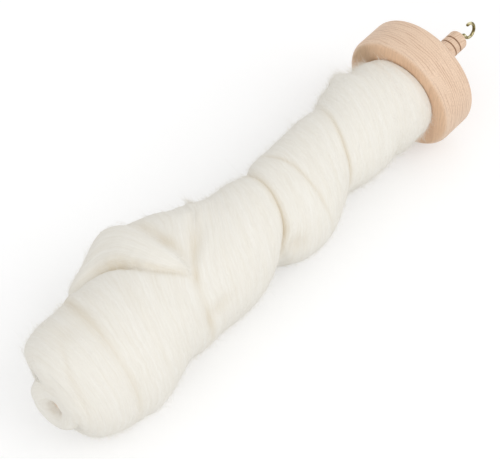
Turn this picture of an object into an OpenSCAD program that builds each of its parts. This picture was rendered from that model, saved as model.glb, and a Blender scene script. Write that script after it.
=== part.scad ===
// Top-whorl drop spindle lying on its side, with a combed wool roving wound round the shaft.
// Millimetres, +Z up. The shaft runs along X with the hook at +X.
// The origin is on the shaft's axis, in the disc's face on the hook side.

/* [Whorl] */
// diameter of the turned beech disc
whorl_d = 60; // [50:1:70]
// thickness of the disc
whorl_t = 20; // [14:0.5:26]
// radius of the rounded-over rim edges
rim_round = 3.2; // [1:0.1:5]
// radius of the broken edges of the bore
bore_edge = 0.4; // [0.2:0.1:0.8]

/* [Shaft] */
// diameter of the dowel above the disc
shaft_d = 10; // [9:0.1:11]
// how much thicker the dowel's seat inside the disc is, in radius
seat_extra = 0.25; // [0.2:0.05:0.4]
// length that stands out above the disc
stub_l = 27; // [22:0.5:34]
// length below the disc
shank_l = 224; // [216:1:224]
// diameter at the lower tip
tip_d = 6; // [4:0.1:7]
// radius of the rounded upper end
stub_round = 1.8; // [0.5:0.1:2.5]
// number of burnt grooves round the upper end
groove_n = 3; // [1:1:4]
// distance of the first groove from the upper end
groove_first = 5.6; // [4:0.1:7]
// distance from one groove to the next
groove_step = 3.4; // [2.5:0.1:4.5]
// radius of the round groove section
groove_r = 0.45; // [0.3:0.05:0.6]
// depth of the groove floor below the dowel's surface
groove_depth = 0.55; // [0.35:0.05:0.8]

/* [Hook] */
// diameter of the hook wire
wire_d = 1.6; // [1.2:0.1:1.8]
// radius of the loop, to the middle of the wire
loop_r = 3.6; // [3:0.1:3.6]
// radius of the bend from the stem into the loop
neck_r = 1.7; // [1.2:0.1:2.2]
// straight stem between the dowel's end and the bend
neck_l = 2; // [1:0.1:4]
// offset of the loop's centre from the shaft's axis
loop_off = 0.5; // [0:0.1:0.5]
// angle that the loop's wire covers
loop_span = 262; // [240:1:280]
// direction in which the neck bends, turned from +Y towards +Z
hook_turn = 252; // [0:1:360]
// depth of the stem in the dowel
stem_in = 12; // [8:0.5:14]
// radial play of the stem in its hole
stem_play = 0.05; // [0.02:0.01:0.1]

/* [Wool] */
// length of the winding from the disc to its lower end
wool_l = 227.5; // [226.5:0.1:229]
// outer radius of the lip round the shaft's tip
lip_r = 14.4; // [12:0.1:16]
// length of the lip below the end lobe
lip_l = 5; // [4.5:0.1:6]
// scale of all the winding's outer radii
bulk = 1; // [0.95:0.01:1.04]
// gap between the disc and the winding
whorl_gap = 0.8; // [0.5:0.1:1.5]
// radial play between the shaft and the winding
bore_play = 0.3; // [0.3:0.05:0.6]

/* [Hidden] */

// crown radii of the winding at every quarter turn: low right, back, upper left, front
crown_quarter = [22.6, 25, 25.2, 24.4, 21.2, 22, 22, 24.8, 28.6, 25, 23, 25.8, 26.4, 33, 33, 31.2, 31.2, 31,
    31.4, 30, 26, 27, 27];
// crease radii between the turns at every quarter turn: upper left, front, low right, back
crease_quarter = [22.5, 24, 20, 21, 21.3, 23, 18.2, 20.5, 20.4, 22, 19.4, 22.5, 27, 26.6, 27, 28, 29.8,
    30.2, 29.3, 27.5, 26, 26, 26];
// how full a turn's section is: below 1 full like a tube, above 1 sloping into its creases
full_quarter = [1.1, 1.1, 1.1, 1.3, 1.1, 1.1, 1.1, 1.3, 1, 1.1, 1.1, 1.3, 1.3, 1.3, 1.2, 1.4];
// crease line between neighbouring turns: winding angle in turns, place below the disc
crease_line = [[-0.25, 0.5], [-0.02, 14], [0.1, 21], [0.26, 25], [0.55, 32], [0.77, 39], [0.91, 44.4],
    [1.03, 52.4], [1.17, 58.5], [1.26, 59.5], [1.5, 71], [1.77, 87], [1.91, 91.3], [2.02, 95.4], [2.14, 103],
    [2.26, 106], [2.5, 111], [2.77, 118.5], [2.85, 124], [2.94, 137.5], [3, 148.5], [3.1, 154.2],
    [3.26, 156.5], [3.5, 172], [3.74, 189], [3.85, 194], [3.95, 197.3], [4.08, 200.8], [4.26, 205],
    [4.45, 213], [4.64, 220.9], [4.85, 230]];

// loose fold that lies over the fourth turn: direction from the axis in degrees, place of its upper valley
fold_high = [[-150, 160], [-60, 152], [0, 148], [43, 145], [75, 146.5], [99, 148], [114, 151]];
// place of the overhung lower edge
fold_low = [[-150, 175], [-90, 190], [0, 191], [20, 187], [40, 175], [60, 168], [82, 163], [101, 155],
    [116, 151]];
// height of the swelling below the fold, and of the fold itself
fold_band = [[-125, 0], [-40, 4], [0, 6], [27, 6], [63, 2.4], [97, 0.6], [110, 0]];
fold_ridge = [[-125, 0], [-40, 3], [0, 5], [27, 6], [63, 4.6], [97, 3], [107, 2], [113, 0]];
// depth of the crease under the lower edge and of the upper valley
fold_cut = [[-30, 0], [27, 1], [46, 1.8], [58, 1.8], [80, 1.2], [99, 1], [115, 0]];
fold_valley = [[10, 0], [30, 0.4], [62, 1.5], [78, 1.5], [99, 0.8], [108, 0]];
// turn that the fold lies on, shares of its width where it is highest and where it has sunk, and how far
fold_turn = 4;
fold_top = 0.34;
fold_sunk = 0.94;
fold_sink = 0.5;
// reach of the overhung edge, of the crease and of the valley, and of the fold's fading at the next turn
fold_drop = 6;
cut_reach = 4;
valley_reach = 4.5;
fold_clear = 5;
// broad dip beside the fourth turn: place, direction, reach along the shaft and round it, depth
dip_place = 168;
dip_angle = 207;
dip_reach = 12;
dip_round = 47;
dip_depth = 5.4;

whorl_r = whorl_d / 2;
shaft_r = shaft_d / 2;
seat_r = shaft_r + seat_extra;
tip_r = tip_d / 2;
wire_r = wire_d / 2;
// loss of wire radius in the tight bend and at the filed tip
bend_thin = 0.02;

// viewed meridian of the winding, and the meridian where one turn passes into the next
view_angle = 110;
cut_angle = -90;
// steps of the winding's grid round the shaft and across a turn
around_n = 36;
across_n = 16;
// steps at which the roving is parted into its lengths
part_step = [-23, 12, 47, 82, 117, 152, 186];
// where the rounded end lobe begins and ends
lobe_from = wool_l - 36;
lobe_edge = wool_l - lip_l;
// how far the end lobe stands out over the lip, its squareness, and how both change round the shaft
lobe_h = 15.8;
lobe_lean = 1.2;
lobe_power = 2.15;
power_tilt = 0.15;
power_lean = 1.7;
lean_angle = 26;
// how the lobe passes into the turns above it
lobe_start = 6;
lobe_slope = 0.5;
lobe_soft = 3;
// stretch over which the grid's columns crowd towards the lip, and the width at which they do so fully
crowd_from = 14;
crowd_span = 24;
crowd_width = 20;
// radius at which the wool meets the disc, its change round the shaft, and the length of its rounding
foot_r = 20.8;
foot_lean = 1.6;
foot_angle = 120;
foot_l = 5.5;

wood_pale = [0.87, 0.72, 0.58];
wood_warm = [0.84, 0.68, 0.53];
brass = [0.62, 0.54, 0.30];
wool_white = [0.94, 0.93, 0.88];

shaft();
whorl();
hook();
roving_start();
roving_turn(1);  // roving_turn_1
roving_turn(2);  // roving_turn_2
roving_turn(3);  // roving_turn_3
roving_turn(4);  // roving_turn_4
roving_turn(5);  // roving_turn_5
roving_end();

// turns a body from the Z axis to the shaft's X axis
module along_x() {
    rotate([0, 90, 0]) children();
}

// dowel with a rounded, grooved upper end, a long taper and a blind hole for the hook's stem
module shaft() {
    color(wood_pale) along_x() difference() {
        union() {
            rotate_extrude($fn = 64) stub_section();
            taper();
        }
        for (i = [0 : groove_n - 1]) groove(stub_l - groove_first - i * groove_step);
        translate([0, 0, stub_l - stem_in - 0.6]) cylinder(h = stem_in + 1, r = wire_r + stem_play, $fn = 24);
    }
}

// half section of the dowel: seat inside the disc, then the stub with its quarter-round shoulder
module stub_section() {
    translate([0, -whorl_t]) square([seat_r, whorl_t]);
    translate([0, -whorl_t]) square([shaft_r, whorl_t + stub_l - stub_round]);
    translate([0, -whorl_t]) square([shaft_r - stub_round, whorl_t + stub_l]);
    intersection() {
        translate([shaft_r - stub_round, stub_l - stub_round]) circle(r = stub_round, $fn = 24);
        square([shaft_r + 1, stub_l + 1]);
    }
}

// lower part of the dowel, tapering to a rounded tip
module taper() {
    translate([0, 0, -whorl_t - shank_l + tip_r])
        cylinder(h = shank_l - tip_r + 0.01, r1 = tip_r, r2 = shaft_r, $fn = 64);
    translate([0, 0, -whorl_t - shank_l + tip_r]) sphere(r = tip_r, $fn = 32);
}

// ring cut with a round floor
module groove(height) {
    rotate_extrude($fn = 64)
        translate([shaft_r - groove_depth + groove_r, height]) circle(r = groove_r, $fn = 16);
}

// disc with rounded-over edges, bored for the dowel's seat
module whorl() {
    color(wood_warm) along_x() difference() {
        rotate_extrude($fn = 96) whorl_section();
        translate([0, 0, -whorl_t - 1]) cylinder(h = whorl_t + 2, r = seat_r, $fn = 96);
        bore_cone(0, 1);
        bore_cone(-whorl_t, -1);
    }
}

// half section of the disc
module whorl_section() {
    translate([0, -whorl_t]) square([whorl_r - rim_round, whorl_t]);
    translate([0, rim_round - whorl_t]) square([whorl_r, whorl_t - 2 * rim_round]);
    for (height = [-rim_round, rim_round - whorl_t])
        translate([whorl_r - rim_round, height]) circle(r = rim_round, $fn = 32);
}

// broken edge at one end of the disc's bore
module bore_cone(height, side) {
    translate([0, 0, height]) mirror([0, 0, side > 0 ? 0 : 1]) translate([0, 0, -bore_edge])
        cylinder(h = bore_edge + 0.01, r1 = seat_r, r2 = seat_r + bore_edge + 0.01, $fn = 96);
}

// open screw hook: a stem, a slightly thinner bend and a loop with a rounded tip
module hook() {
    loop_at = neck_l + sqrt(pow(loop_r + neck_r, 2) - pow(neck_r - loop_off, 2));
    meet = atan2(loop_off - neck_r, loop_at - neck_l);
    stop = meet + 180 - loop_span;
    color(brass) translate([stub_l, 0, 0]) rotate([hook_turn, 0, 0]) {
        translate([-stem_in, 0, 0]) along_x() cylinder(h = stem_in + neck_l, r = wire_r, $fn = 24);
        translate([neck_l, neck_r, 0]) wire_arc(neck_r, -92, meet + 2, wire_r - bend_thin);
        translate([loop_at, loop_off, 0]) {
            wire_arc(loop_r, stop, meet + 180, wire_r);
            translate([loop_r * cos(stop), loop_r * sin(stop), 0]) sphere(r = wire_r - bend_thin, $fn = 24);
        }
    }
}

// bent wire from one angle to the next
module wire_arc(radius, from, to, thick) {
    rotate([0, 0, from]) rotate_extrude(angle = to - from, $fn = 64)
        translate([radius, 0]) circle(r = thick, $fn = 24);
}

// value of a quarter-turn list at a winding angle counted in turns, eased between its entries
function eased(list, turn) =
    let (at = min(max(4 * turn + 1, 0), len(list) - 1.001), i = floor(at))
    list[i] + (list[i + 1] - list[i]) * (1 - cos(180 * (at - i))) / 2;

// number held between 0 and 1, the same eased at both ends, and a bell curve
function share(x) = min(max(x, 0), 1);
function smooth(x) = let (f = share(x)) f * f * (3 - 2 * f);
function bell(x) = exp(-x * x);

// smaller of two values, rounded where they cross
function least(a, b, soft) =
    let (h = share(0.5 + 0.5 * (b - a) / soft))
    b + (a - b) * h - soft * h * (1 - h);

// direction from the axis at a step of the grid, counted on from the cut meridian of the first turn
function angle_at(step) = cut_angle + step * 360 / around_n;

// winding angle in turns at a step, 1 where the first crease crosses the viewed meridian
function turn_at(step) = 1 + (angle_at(step) - view_angle) / 360;

// place of a crease line, held between the disc and the lip
function edge(turn) = min(max(lookup(turn, crease_line), whorl_gap), lobe_edge);

// place of a grid column across the roving; on the end lobe the columns crowd towards the lip
function place_at(turn, column) =
    let (low = edge(turn - 1), high = edge(turn))
    let (near = smooth((lookup(turn, crease_line) - lobe_edge + crowd_from) / crowd_span))
    let (crowd = near * share((high - low) / crowd_width))
    low + (high - low) * ((1 - crowd) * column / across_n + crowd * sin(90 * column / across_n));

// largest radius at a place on the rounded end lobe, which is fuller on one side
function end_limit(place, angle) =
    let (lean = cos(angle - lean_angle))
    let (power = lobe_power + power_tilt * lean + power_lean * pow(max(0, lean), 2))
    let (along = share((place - lobe_from) / (lobe_edge - lobe_from)))
    let (height = lobe_h + lobe_lean * lean)
    lip_r + height * pow(max(0, 1 - pow(along, power)), 1 / power)
        + lobe_slope * max(0, lobe_from + lobe_start - place);

// height that the loose fold adds at a winding angle and a place
function fold(turn, place) =
    let (angle = view_angle + 360 * (turn - fold_turn))
    let (high = lookup(angle, fold_high), low = lookup(angle, fold_low))
    let (above = share((place - edge(turn - 1)) / (high - edge(turn - 1))))
    let (across = share((place - high) / (low - high)))
    let (sunk = fold_sink * smooth((across - fold_top) / (fold_sunk - fold_top)))
    let (crest = smooth(across / fold_top) * (1 - sunk) * smooth((low - place) / fold_drop))
    let (cut = lookup(angle, fold_cut) * bell((place - low) / cut_reach))
    let (valley = lookup(angle, fold_valley) * bell((place - high) / valley_reach))
    let (clear = smooth(min(place - edge(turn - 1), edge(turn) - place) / fold_clear))
    let (swelling = lookup(angle, fold_band) * (place < high ? above : 1 - across))
    clear * (swelling + lookup(angle, fold_ridge) * crest - cut - valley);

// depth of the broad dip at a place and a direction from the axis
function dip(place, angle) =
    let (turned = (angle - dip_angle + 900) % 360 - 180)
    dip_depth * bell((place - dip_place) / dip_reach) * bell(turned / dip_round);

// radius drawn in to the wool's foot at the disc
function drawn_in(radius, place, angle) =
    let (foot = foot_r + foot_lean * cos(2 * (angle - foot_angle)))
    let (pull = sqrt(1 - pow(share(1 - (place - whorl_gap) / foot_l), 2)))
    min(radius, foot) + max(0, radius - foot) * pull;

// outer radius of the roving at a winding angle, a grid column and a direction from the axis
function outer(turn, column, angle) =
    let (place = place_at(turn, column))
    let (across = (place - edge(turn - 1)) / (edge(turn) - edge(turn - 1)))
    let (low = eased(crease_quarter, turn - 1), high = eased(crease_quarter, turn))
    let (base = low + (high - low) * across)
    let (top = eased(crown_quarter, turn - 0.5), full = eased(full_quarter, turn - 0.5))
    let (plain = base + (top - base) * pow(max(0, sin(180 * across)), full))
    let (radius = drawn_in(bulk * (plain + fold(turn, place) - dip(place, angle)), place, angle))
    least(radius, end_limit(place, angle), lobe_soft);

// point of the winding, kept above the table that the disc's rim stands on
function wool_point(place, radius, angle) =
    [-whorl_t - place, radius * cos(angle), max(radius * sin(angle), -whorl_r)];

// one length of the roving between two steps of the grid, bored for the shaft
module wool_solid(first, last) {
    n = last - first;
    row = across_n + 1;
    outside = [for (i = [first : last]) for (j = [0 : across_n])
        wool_point(place_at(turn_at(i), j), outer(turn_at(i), j, angle_at(i)), angle_at(i))];
    inside = [for (i = [first : last]) for (j = [0, across_n])
        wool_point(place_at(turn_at(i), j), tip_r / 2, angle_at(i))];
    m = len(outside);
    skin = [for (i = [0 : n - 1]) for (j = [0 : across_n - 1])
        let (p = i * row + j)
        each [[p, p + row, p + 1], [p + 1, p + row, p + row + 1]]];
    core = [for (i = [0 : n - 1])
        let (q = m + 2 * i)
        each [[q, q + 1, q + 2], [q + 1, q + 3, q + 2]]];
    low_wall = [for (i = [0 : n - 1])
        let (p = i * row, q = m + 2 * i)
        each [[p, q + 2, p + row], [p, q, q + 2]]];
    high_wall = [for (i = [0 : n - 1])
        let (p = i * row + across_n, q = m + 2 * i + 1)
        each [[p, p + row, q + 2], [p, q + 2, q]]];
    first_end = [concat([m], [for (j = [0 : across_n]) j], [m + 1])];
    last_end = [concat([m + 2 * n + 1], [for (j = [across_n : -1 : 0]) n * row + j], [m + 2 * n])];
    color(wool_white) difference() {
        polyhedron(concat(outside, inside), concat(skin, core, low_wall, high_wall, first_end, last_end));
        wool_bore();
    }
}

// clear way for the shaft through the winding
module wool_bore() {
    translate([-whorl_t - shank_l + tip_r, 0, 0]) along_x()
        cylinder(h = shank_l - tip_r + 0.01, r1 = tip_r + bore_play, r2 = shaft_r + bore_play, $fn = 96);
    translate([-whorl_t - wool_l - 1, 0, 0]) along_x()
        cylinder(h = wool_l + 1.01 - shank_l + tip_r, r = tip_r + bore_play, $fn = 96);
}

// one turn of the roving, a step short of a full round so that it never meets itself
module roving_turn(k) {
    wool_solid(part_step[k], part_step[k + 1]);
}

// thin beginning of the roving, tucked in below the disc
module roving_start() {
    wool_solid(part_step[0], part_step[1]);
}

// last of the roving, laid in as a round lip about the shaft's tip
module roving_end() {
    color(wool_white) difference() {
        translate([-whorl_t - wool_l, 0, 0]) along_x() rotate_extrude($fn = 96) lip_section();
        wool_bore();
    }
}

// half section of the lip with its rounded edge
module lip_section() {
    square([lip_r - lip_l, lip_l]);
    intersection() {
        translate([lip_r - lip_l, lip_l]) circle(r = lip_l, $fn = 48);
        square([lip_r, lip_l]);
    }
}
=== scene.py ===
import bpy
import numpy as np
from mathutils import Matrix, Vector


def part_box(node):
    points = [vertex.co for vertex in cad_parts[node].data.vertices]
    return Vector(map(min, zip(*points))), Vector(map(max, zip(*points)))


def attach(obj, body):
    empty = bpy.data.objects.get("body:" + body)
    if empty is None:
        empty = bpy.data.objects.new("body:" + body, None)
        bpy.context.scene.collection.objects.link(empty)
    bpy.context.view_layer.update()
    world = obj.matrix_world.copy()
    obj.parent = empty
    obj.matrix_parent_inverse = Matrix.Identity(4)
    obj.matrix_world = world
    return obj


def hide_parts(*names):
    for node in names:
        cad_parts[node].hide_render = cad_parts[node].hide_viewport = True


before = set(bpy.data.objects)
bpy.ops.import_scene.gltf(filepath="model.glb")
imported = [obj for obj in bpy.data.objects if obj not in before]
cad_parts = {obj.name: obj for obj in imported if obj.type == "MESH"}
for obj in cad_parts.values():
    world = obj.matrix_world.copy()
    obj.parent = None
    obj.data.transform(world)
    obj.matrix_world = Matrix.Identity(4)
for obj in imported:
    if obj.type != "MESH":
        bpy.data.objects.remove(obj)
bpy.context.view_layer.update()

# Sizes are in millimetres. A place (s) is a distance below the disc, a direction (angle) is counted in
# degrees round the shaft, t counts turns of the winding and u runs across the roving from 0 to 1.
MM = 0.001


def node_box(node):
    """A CAD node's lowest and highest corners in millimetres."""
    return [[round(x / MM, 2) for x in corner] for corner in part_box(node)]


# the disc stands on the floor, and the wool runs from the disc to the lip's end
(WHORL_FROM, _, FLOOR), _ = node_box("whorl")
(LIP_END, _, _), (LIP_START, LIP_R, _) = node_box("roving_end")
WHORL_T = -WHORL_FROM
WOOL_L = WHORL_FROM - LIP_END
FLOOR_HALF = 4000.0
OFF_FLOOR = 0.02
# space left between the wool and the disc, the radius of the wool there, how oval it is and towards which
# side, and the length over which the wool is drawn in to it
GAP = 0.4
FOOT_R, FOOT_OVAL, FOOT_WIDE = 20.8, 1.6, 120.0
FOOT_L = 5.5
# the winding's rounded end: where it begins, how far it stands out of the lip, and how much further at its
# square corner; it stops short at that corner and on the far side
LOBE_FROM = WOOL_L - 36.0
LOBE_OUT, LOBE_LEAN = 15.8, 1.2
BOXY_SHORT = 1.8
FAR_SHORT = 2.9
# where the rounded end meets the lip, and how far it runs into it on the camera's side
LOBE_EDGE = WHORL_FROM - LIP_START
LIP_DRAWN = 3.4
# directions: where turns are counted from, the side that faces the camera, the square corner, the two
# outlines that the camera sees, and how far round an outline the wool is drawn in
VIEW = 110.0
FRONT = 108.0
CORNER = 26.0
UPPER, LOWER = 20.0, 209.0
BESIDE = 40.0
# fibre coordinates: a turn's length, the roving's width, and where the fold's own start and their width
AROUND = 160.0
ACROSS = 46.0
FOLD_FIBRES, FOLD_WIDTH = 200, 26
# squares of the random lattice
LATTICE = 256

# camera at the photograph's viewing angle
AIM = (-123.2, 0.2, 0.0)
AZIMUTH, ELEVATION, DISTANCE = -47.88, 55.84, 803.3
LENS = 129.6
SENSOR = 36.0
CLIP_NEAR, CLIP_FAR = 20.0, 20000.0


def make_camera():
    """Add the camera, and give the directions to its right, up and back."""
    a, e = np.radians(AZIMUTH), np.radians(ELEVATION)
    back = np.array([np.sin(a) * np.cos(e), -np.cos(a) * np.cos(e), np.sin(e)])
    right = np.array([np.cos(a), np.sin(a), 0.0])
    up = np.cross(back, right)
    eye = (np.array(AIM) + back * DISTANCE) * MM
    data = bpy.data.cameras.new("camera")
    data.sensor_fit = "HORIZONTAL"
    data.sensor_width = SENSOR
    data.lens = LENS
    data.clip_start = CLIP_NEAR * MM
    data.clip_end = CLIP_FAR * MM
    cam = bpy.data.objects.new("camera", data)
    bpy.context.scene.collection.objects.link(cam)
    m = Matrix.Identity(4)
    for i in range(3):
        m[i][0], m[i][1], m[i][2], m[i][3] = right[i], up[i], back[i], eye[i]
    cam.matrix_world = m
    bpy.context.scene.camera = cam
    return right, up, back


RIGHT, UP, BACK = make_camera()

# winding of the wool
TURN_STEP = 0.002
TURNS = np.arange(-1.5, 7.0, TURN_STEP)
PLACE_STEP = 0.25
PLACES = np.arange(-20.0, 260.0, PLACE_STEP)


def blurred(line, kernel):
    """A line of values, smoothed by a kernel and held at its ends."""
    padded = np.pad(line, len(kernel) // 2, mode="edge")
    return np.convolve(padded, kernel / kernel.sum(), "valid")[:len(line)]


def by_turn(pairs, blur):
    """A smooth curve through (turns of the winding, value) pairs, as values on TURNS."""
    t, v = np.array(pairs, float).T
    n = int(3 * blur / TURN_STEP)
    kernel = np.exp(-0.5 * (np.arange(-n, n + 1) * TURN_STEP / blur) ** 2)
    return blurred(np.interp(TURNS, t, v), kernel)


def by_place(pairs, blur=1.2):
    """A smooth curve through (place, value) pairs, as values on PLACES."""
    s, v = np.array(pairs, float).T
    kernel = np.exp(-0.5 * (np.arange(-4 * blur, 4 * blur + 0.1, PLACE_STEP) / blur) ** 2)
    return blurred(np.interp(PLACES, s, v), kernel)


def quarters(values, blur=0.06):
    """A smooth curve through values at every quarter turn from a quarter before the start."""
    return by_turn([(0.25 * i - 0.25, v) for i, v in enumerate(values)], blur)


def by_angle(pairs, k, blur=0.008):
    """A smooth curve through (direction, value) pairs on turn k."""
    return by_turn(sorted((k + (a - VIEW) / 360.0, v) for a, v in pairs), blur)


def at(curve, t):
    """A curve's values at given turns of the winding."""
    return np.interp(t, TURNS, curve)


# where the crease between two turns lies
CREASE = by_turn([(-0.6, -16), (-0.25, 0.5), (-0.02, 14), (0.033, 17.5), (0.1, 21), (0.155, 22.5),
                  (0.26, 25), (0.55, 32), (0.77, 39), (0.844, 41.5), (0.911, 44.4), (0.967, 48),
                  (1.025, 52), (1.078, 54.6), (1.114, 56.3), (1.17, 58.5), (1.26, 59.5), (1.5, 71),
                  (1.77, 87), (1.842, 90), (1.911, 91.3), (1.964, 92.8), (2.02, 95.4), (2.07, 98),
                  (2.1, 99.7), (2.144, 103), (2.208, 105.5), (2.26, 106), (2.5, 111), (2.77, 118.5),
                  (2.853, 124), (2.897, 131.5), (2.939, 137.5), (2.967, 143), (3.006, 149),
                  (3.056, 152.7), (3.097, 154.2), (3.13, 155), (3.26, 156.5), (3.5, 172), (3.74, 189),
                  (3.77, 190.5), (3.85, 194), (3.906, 196), (3.947, 197.3), (3.986, 198.4),
                  (4.02, 199.6), (4.083, 200.8), (4.128, 201.5), (4.26, 205), (4.45, 213),
                  (4.64, 220.9), (4.85, 230), (6.0, 270)], 0.012)
# radii at every quarter turn: low right, back, upper left, front
CROWN = quarters([22.6, 25, 25.2, 24.4, 21.2, 22, 22, 24.8, 28.6, 25, 23, 25.8, 26.4, 33, 33, 31.2,
                  31.2, 31, 31.4, 30, 26, 27, 27])
# the same at the creases, from the upper left on
CREASE_R = quarters([22.5, 24, 20.4, 21.5, 22, 23.6, 18.8, 21, 21.2, 23, 20.2, 23, 27.6, 27.6, 27.6,
                     28.4, 30.6, 30.8, 29.6, 27.5, 26, 26, 26])
# how full a turn is between its creases: rounder above 1, squarer below it
FULL = quarters([1.1, 1.1, 1.1, 1.3, 1.1, 1.1, 1.1, 1.3, 1.0, 1.1, 1.1, 1.3, 1.3, 1.3, 1.2, 1.4, 1.4,
                 1.4, 1.4, 1.4, 1.4, 1.4, 1.4])
# along the crease: turns, depth, reach above it, reach below it, sharpness from 0 to 1, painted brown shade
MARKS = np.array([
    (-0.3, 0.0, 3, 3, 0.0, 0.0), (-0.02, 0.3, 3, 3, 0.1, 0.02), (0.1, 0.5, 3, 3, 0.2, 0.06),
    (0.25, 0.8, 3, 3, 0.2, 0.06), (0.7, 0.8, 3, 3, 0.2, 0.04), (0.8, 0.7, 3, 3, 0.2, 0.06),
    (0.86, 0.6, 2.6, 2.4, 0.4, 0.14), (0.92, 0.7, 1.8, 2, 0.7, 0.32), (1.0, 0.8, 1.6, 1.8, 0.9, 0.45),
    (1.09, 0.9, 1.6, 1.8, 0.9, 0.46), (1.14, 0.9, 2.2, 2.2, 0.6, 0.25), (1.19, 0.9, 3, 3, 0.3, 0.08),
    (1.25, 0.9, 3, 3, 0.3, 0.05), (1.7, 0.8, 3, 3, 0.3, 0.06), (1.8, 1.1, 3, 3, 0.4, 0.22),
    (1.87, 1.0, 2.4, 2.2, 0.6, 0.36), (1.96, 1.1, 2.2, 2, 0.8, 0.5), (2.04, 1.6, 2.4, 2.0, 0.8, 0.6),
    (2.1, 2.3, 2.6, 2.4, 0.7, 0.74), (2.14, 2.2, 2.8, 2.8, 0.5, 0.62), (2.18, 1.6, 3, 3, 0.4, 0.36),
    (2.25, 1.2, 3, 3, 0.4, 0.12), (2.7, 0.5, 5, 5, 0.0, 0.03), (2.78, 0.4, 6, 6, 0.0, 0.03),
    (2.84, 0.3, 6, 6, 0.0, 0.02), (2.9, 0.8, 7, 6, 0.0, 0.1), (2.94, 1.9, 6.5, 5.5, 0.0, 0.34),
    (2.967, 1.6, 5.5, 4.5, 0.0, 0.32), (2.988, 0.9, 3.5, 3, 0.1, 0.2), (3.006, 1.5, 2.2, 2.6, 0.2, 0.55),
    (3.026, 0.7, 2.4, 2.4, 0.3, 0.14), (3.06, 0.7, 2.4, 2.4, 0.3, 0.12), (3.09, 1.2, 3, 2.4, 0.3, 0.24),
    (3.12, 1.8, 3.6, 2.6, 0.2, 0.42), (3.15, 1.3, 3, 3, 0.1, 0.25), (3.25, 0.8, 4, 4, 0.1, 0.08),
    (3.7, 0.7, 4, 4, 0.2, 0.1), (3.78, 1.0, 4, 4, 0.2, 0.3), (3.85, 1.2, 4, 4, 0.1, 0.36),
    (3.906, 1.2, 4, 4, 0.1, 0.34), (3.947, 1.0, 3.5, 3.5, 0.1, 0.26), (4.0, 0.7, 3, 3, 0.2, 0.16),
    (4.06, 0.5, 3, 3, 0.2, 0.13), (4.12, 0.6, 3, 3, 0.3, 0.18), (4.16, 0.5, 3, 3, 0.3, 0.16),
    (4.22, 0.3, 3, 3, 0.2, 0.06), (4.5, 0.5, 3, 3, 0.2, 0.03), (5.5, 0.0, 3, 3, 0.0, 0.0)])
DEPTH, ABOVE, BELOW, SHARP, CREASE_SHADE = [by_turn(MARKS[:, [0, k]], 0.008) for k in range(1, 6)]
# the fold on the fourth turn: its two edges, the heights of its band and its ridge, and the cut and the
# painted brown shade below its lower edge
FOLD_HIGH = by_angle([(-150, 160), (-60, 152), (0, 148), (27, 146), (43, 145), (58, 146.5), (75, 146.5),
                      (90, 146.7), (99, 148), (106, 149.5), (114, 151)], 4)
FOLD_LOW = by_angle([(-150, 175), (-90, 190), (10, 191), (20, 190), (27, 186), (32, 180), (38, 174.5),
                     (46, 171), (58, 168.5), (70, 166.5), (82, 164.2), (92, 160), (101, 155),
                     (111, 151.4), (116, 151)], 4)
FOLD_BAND = by_angle([(-125, 0), (-90, 1), (-40, 4), (0, 6), (27, 6), (43, 4.5), (63, 2.4), (82, 1.2),
                      (97, 0.6), (110, 0)], 4, 0.02)
FOLD_RIDGE = by_angle([(-125, 0), (-90, 1), (-40, 3), (0, 5), (27, 6), (43, 5.5), (63, 4.6), (82, 3.8),
                       (97, 3.0), (107, 2.0), (113, 0)], 4, 0.012)
FOLD_CUT = by_angle([(-30, 0), (10, 0.4), (27, 1.0), (38, 1.8), (46, 2.3), (58, 2.3), (70, 1.8),
                     (80, 1.3), (90, 1.1), (99, 1.0), (108, 0.6), (115, 0)], 4, 0.012)
FOLD_SHADE = by_angle([(-30, 0), (15, 0.14), (27, 0.22), (36, 0.5), (44, 0.8), (58, 0.85), (68, 0.6),
                      (76, 0.36), (88, 0.5), (97, 0.46), (106, 0.22), (114, 0)], 4, 0.008)
# width over which the fold's lower edge drops
FOLD_DROP = by_angle([(-150, 8), (15, 8), (30, 7), (42, 5), (60, 4), (80, 3.2), (116, 2.4)], 4, 0.012)
# depth of the valley along the fold's upper edge
VALLEY_CUT = by_angle([(10, 0), (30, 0.4), (48, 0.8), (62, 1.5), (78, 1.5), (90, 1.2), (99, 0.8),
                       (108, 0)], 4, 0.012)
# broad dip beside the fourth turn: place, direction, reach along the shaft and round it, depth
DIP = (168, 207, 12, 47, 5.4)
# shallow crease in the middle of the second turn, and one beside the lip
SPLIT_AT = by_angle([(40, 78.5), (63, 78), (79, 77.2), (97, 77), (119, 77.6), (142, 78.3), (166, 78.5),
                     (197, 78)], 2)
SPLIT_CUT = by_angle([(38, 0), (52, 0.5), (76, 0.7), (113, 0.7), (140, 0.55), (170, 0.3),
                      (190, 0)], 2, 0.015)
LAST_AT = by_angle([(50, 206), (79, 212), (98, 217.6), (113, 219.4), (128, 220.4), (147, 221.6),
                    (170, 222)], 5)
LAST_CUT = by_angle([(50, 0), (79, 0.5), (98, 0.8), (128, 0.7), (147, 0.4), (170, 0)], 5, 0.015)
# soft hollows and swellings: place, direction, reach along, reach around in degrees, height, painted brown
# shade
DENTS = [(98, 167, 4.5, 14, -1.1, 0.2), (148, 150, 9, 8, -0.7, 0.2), (126.5, 63, 5, 12, 1.2, 0.0),
         (150, 103, 3.5, 6, 1.0, 0.0), (167, 128, 9, 16, 0.8, 0.0), (88, 140, 7, 20, 0.5, 0.0),
         (206, 72, 5, 12, -0.8, 0.12), (20, 30, 6, 16, 0.9, 0.0)]
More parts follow.
